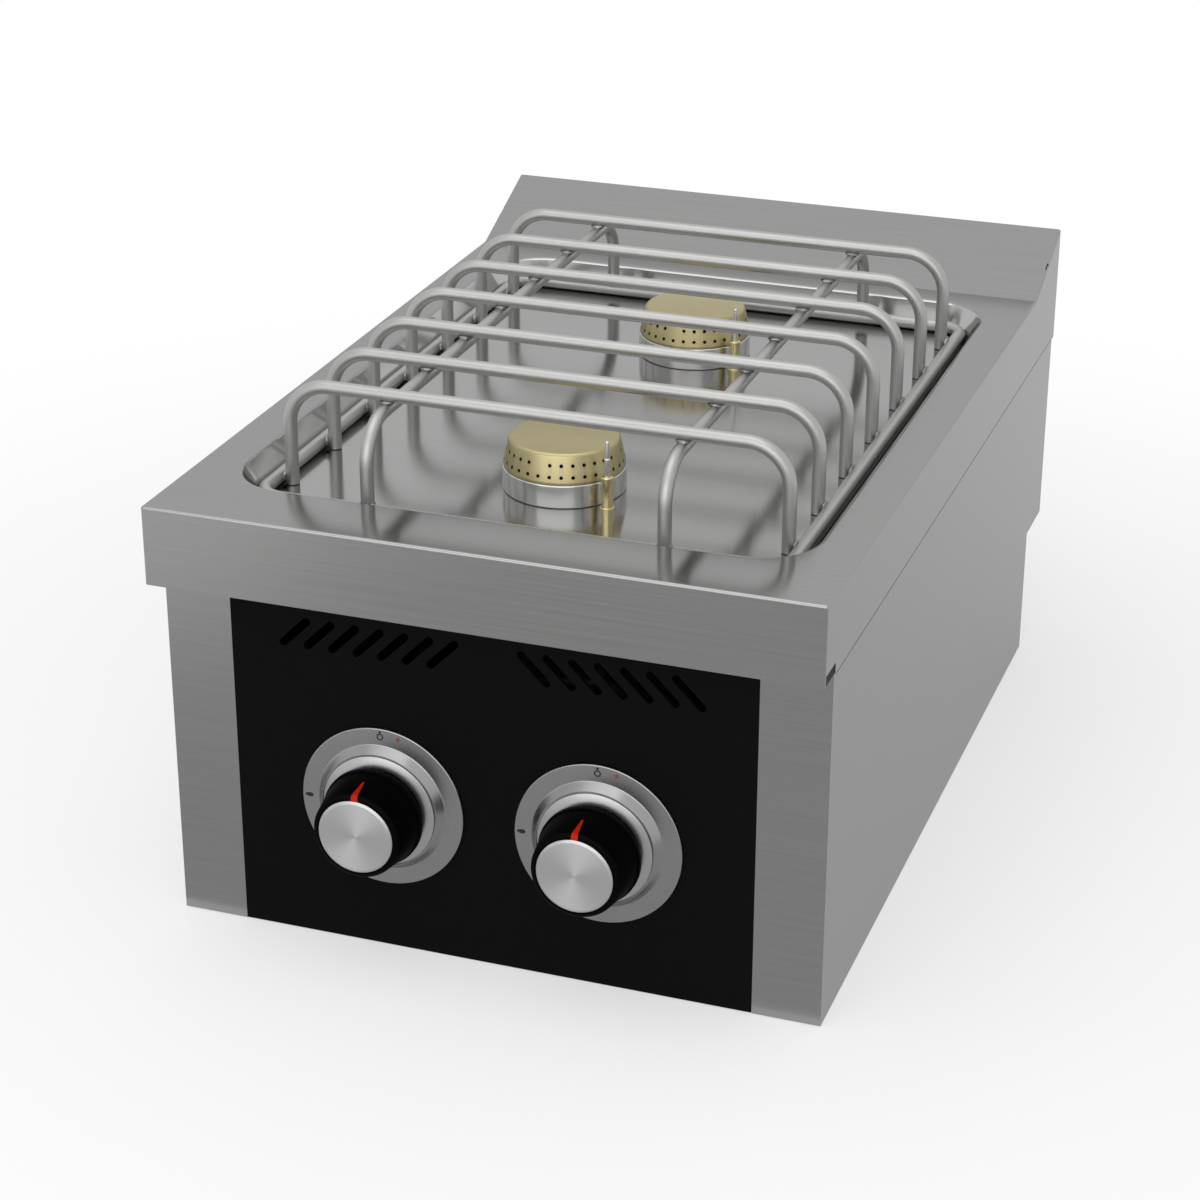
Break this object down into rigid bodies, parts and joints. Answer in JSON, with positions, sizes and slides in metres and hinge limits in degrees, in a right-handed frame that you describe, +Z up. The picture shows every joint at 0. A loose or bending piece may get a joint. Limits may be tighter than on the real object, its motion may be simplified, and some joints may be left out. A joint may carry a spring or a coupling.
{
  "type": "two burner gas range",
  "caption": "Counter-top gas range: folded steel deck with a pressed well, round burners with brass caps, a lift-off wire grate, and push-and-turn knobs on a black front.",
  "frame": {"origin": "middle of the footprint, on the underside of the body, where it stands", "axes": "+X to the right seen from the front, +Y to the back, +Z up"},
  "size_m": [0.4, 0.6201, 0.321],
  "materials": {
    "brushed_steel": "fine straight brushing",
    "black_panel": "satin black",
    "plain_sheet": "plain mill finish",
    "zinc": "zinc plated",
    "fitting_brass": "machined",
    "pipe_aluminium": "drawn tube",
    "lead_copper": "drawn copper",
    "grate_chrome": "bright chromed rod",
    "bezel_chrome": "satin rim with bright steps",
    "knob_black": "gloss black",
    "knob_disc": "spun in fine circles",
    "pointer_red": "gloss red",
    "spindle_steel": "turned",
    "burner_iron": "as cast",
    "ring_aluminium": "turned",
    "cap_brass": "satin turned",
    "probe_brass": "turned, with a pale steel tip"
  },
  "bodies": {
    "shell": {"deck_top": "brushed_steel", "left_side_panel": "brushed_steel", "right_side_panel": "brushed_steel", "control_panel": "black_panel", "bottom_panel": "plain_sheet", "rear_panel": "plain_sheet", "rear_step_panel": "plain_sheet", "valve_rail": "plain_sheet", "rear_panel_screws": "zinc", "valve_screws": "zinc", "gas_manifold": "zinc", "supply_pipe": "zinc", "manifold_union": "fitting_brass", "gas_inlet": "fitting_brass", "inlet_locknut": "fitting_brass", "thermocouple_nuts": "fitting_brass", "left_valve_body": "fitting_brass", "left_valve_bonnet": "fitting_brass", "right_valve_body": "fitting_brass", "right_valve_bonnet": "fitting_brass", "front_injector": "fitting_brass", "rear_injector": "fitting_brass", "front_feed_pipe": "pipe_aluminium", "rear_feed_pipe": "pipe_aluminium", "front_thermocouple_lead": "lead_copper", "rear_thermocouple_lead": "lead_copper", "left_bezel": "bezel_chrome", "right_bezel": "bezel_chrome", "front_burner_body": "burner_iron", "rear_burner_body": "burner_iron", "front_burner_ring": "ring_aluminium", "rear_burner_ring": "ring_aluminium", "front_thermocouple": "probe_brass", "rear_thermocouple": "probe_brass"},
    "grate": {"grate_hoop_1": "grate_chrome", "grate_hoop_2": "grate_chrome", "grate_hoop_3": "grate_chrome", "grate_hoop_4": "grate_chrome", "grate_hoop_5": "grate_chrome", "grate_hoop_6": "grate_chrome", "grate_hoop_7": "grate_chrome", "left_grate_runner": "grate_chrome", "right_grate_runner": "grate_chrome", "grate_ring": "grate_chrome"},
    "front_cap": {"front_burner_cap": "cap_brass"},
    "rear_cap": {"rear_burner_cap": "cap_brass"},
    "left_plug": {"left_valve_plug": "fitting_brass", "left_spindle_spring": "spindle_steel"},
    "left_knob": {"left_spindle": "spindle_steel", "left_knob": "knob_black", "left_knob_cap": "knob_disc", "left_knob_pointer": "pointer_red"},
    "right_plug": {"right_valve_plug": "fitting_brass", "right_spindle_spring": "spindle_steel"},
    "right_knob": {"right_spindle": "spindle_steel", "right_knob": "knob_black", "right_knob_cap": "knob_disc", "right_knob_pointer": "pointer_red"}
  },
  "joints": [
    {"name": "grate_lift", "type": "slide", "parent": "shell", "child": "grate", "axis": [0, 0, 1], "range_m": [0, 0.12]},
    {"name": "front_cap_lift", "type": "slide", "parent": "shell", "child": "front_cap", "axis": [0, 0, 1], "range_m": [0, 0.025]},
    {"name": "rear_cap_lift", "type": "slide", "parent": "shell", "child": "rear_cap", "axis": [0, 0, 1], "range_m": [0, 0.025]},
    {"name": "left_knob_turn", "type": "hinge", "parent": "shell", "child": "left_plug", "pos_m": [-0.066, -0.235, 0.0935], "axis": [0, -1, 0], "range_deg": [0, 180]},
    {"name": "left_knob_push", "type": "slide", "parent": "left_plug", "child": "left_knob", "axis": [0, 1, 0], "range_m": [0, 0.004], "stiffness_N_per_m": 2000, "springref_m": -0.003, "deforming": ["left_spindle_spring"]},
    {"name": "right_knob_turn", "type": "hinge", "parent": "shell", "child": "right_plug", "pos_m": [0.066, -0.235, 0.0935], "axis": [0, -1, 0], "range_deg": [0, 180]},
    {"name": "right_knob_push", "type": "slide", "parent": "right_plug", "child": "right_knob", "axis": [0, 1, 0], "range_m": [0, 0.004], "stiffness_N_per_m": 2000, "springref_m": -0.003, "deforming": ["right_spindle_spring"]}
  ]
}
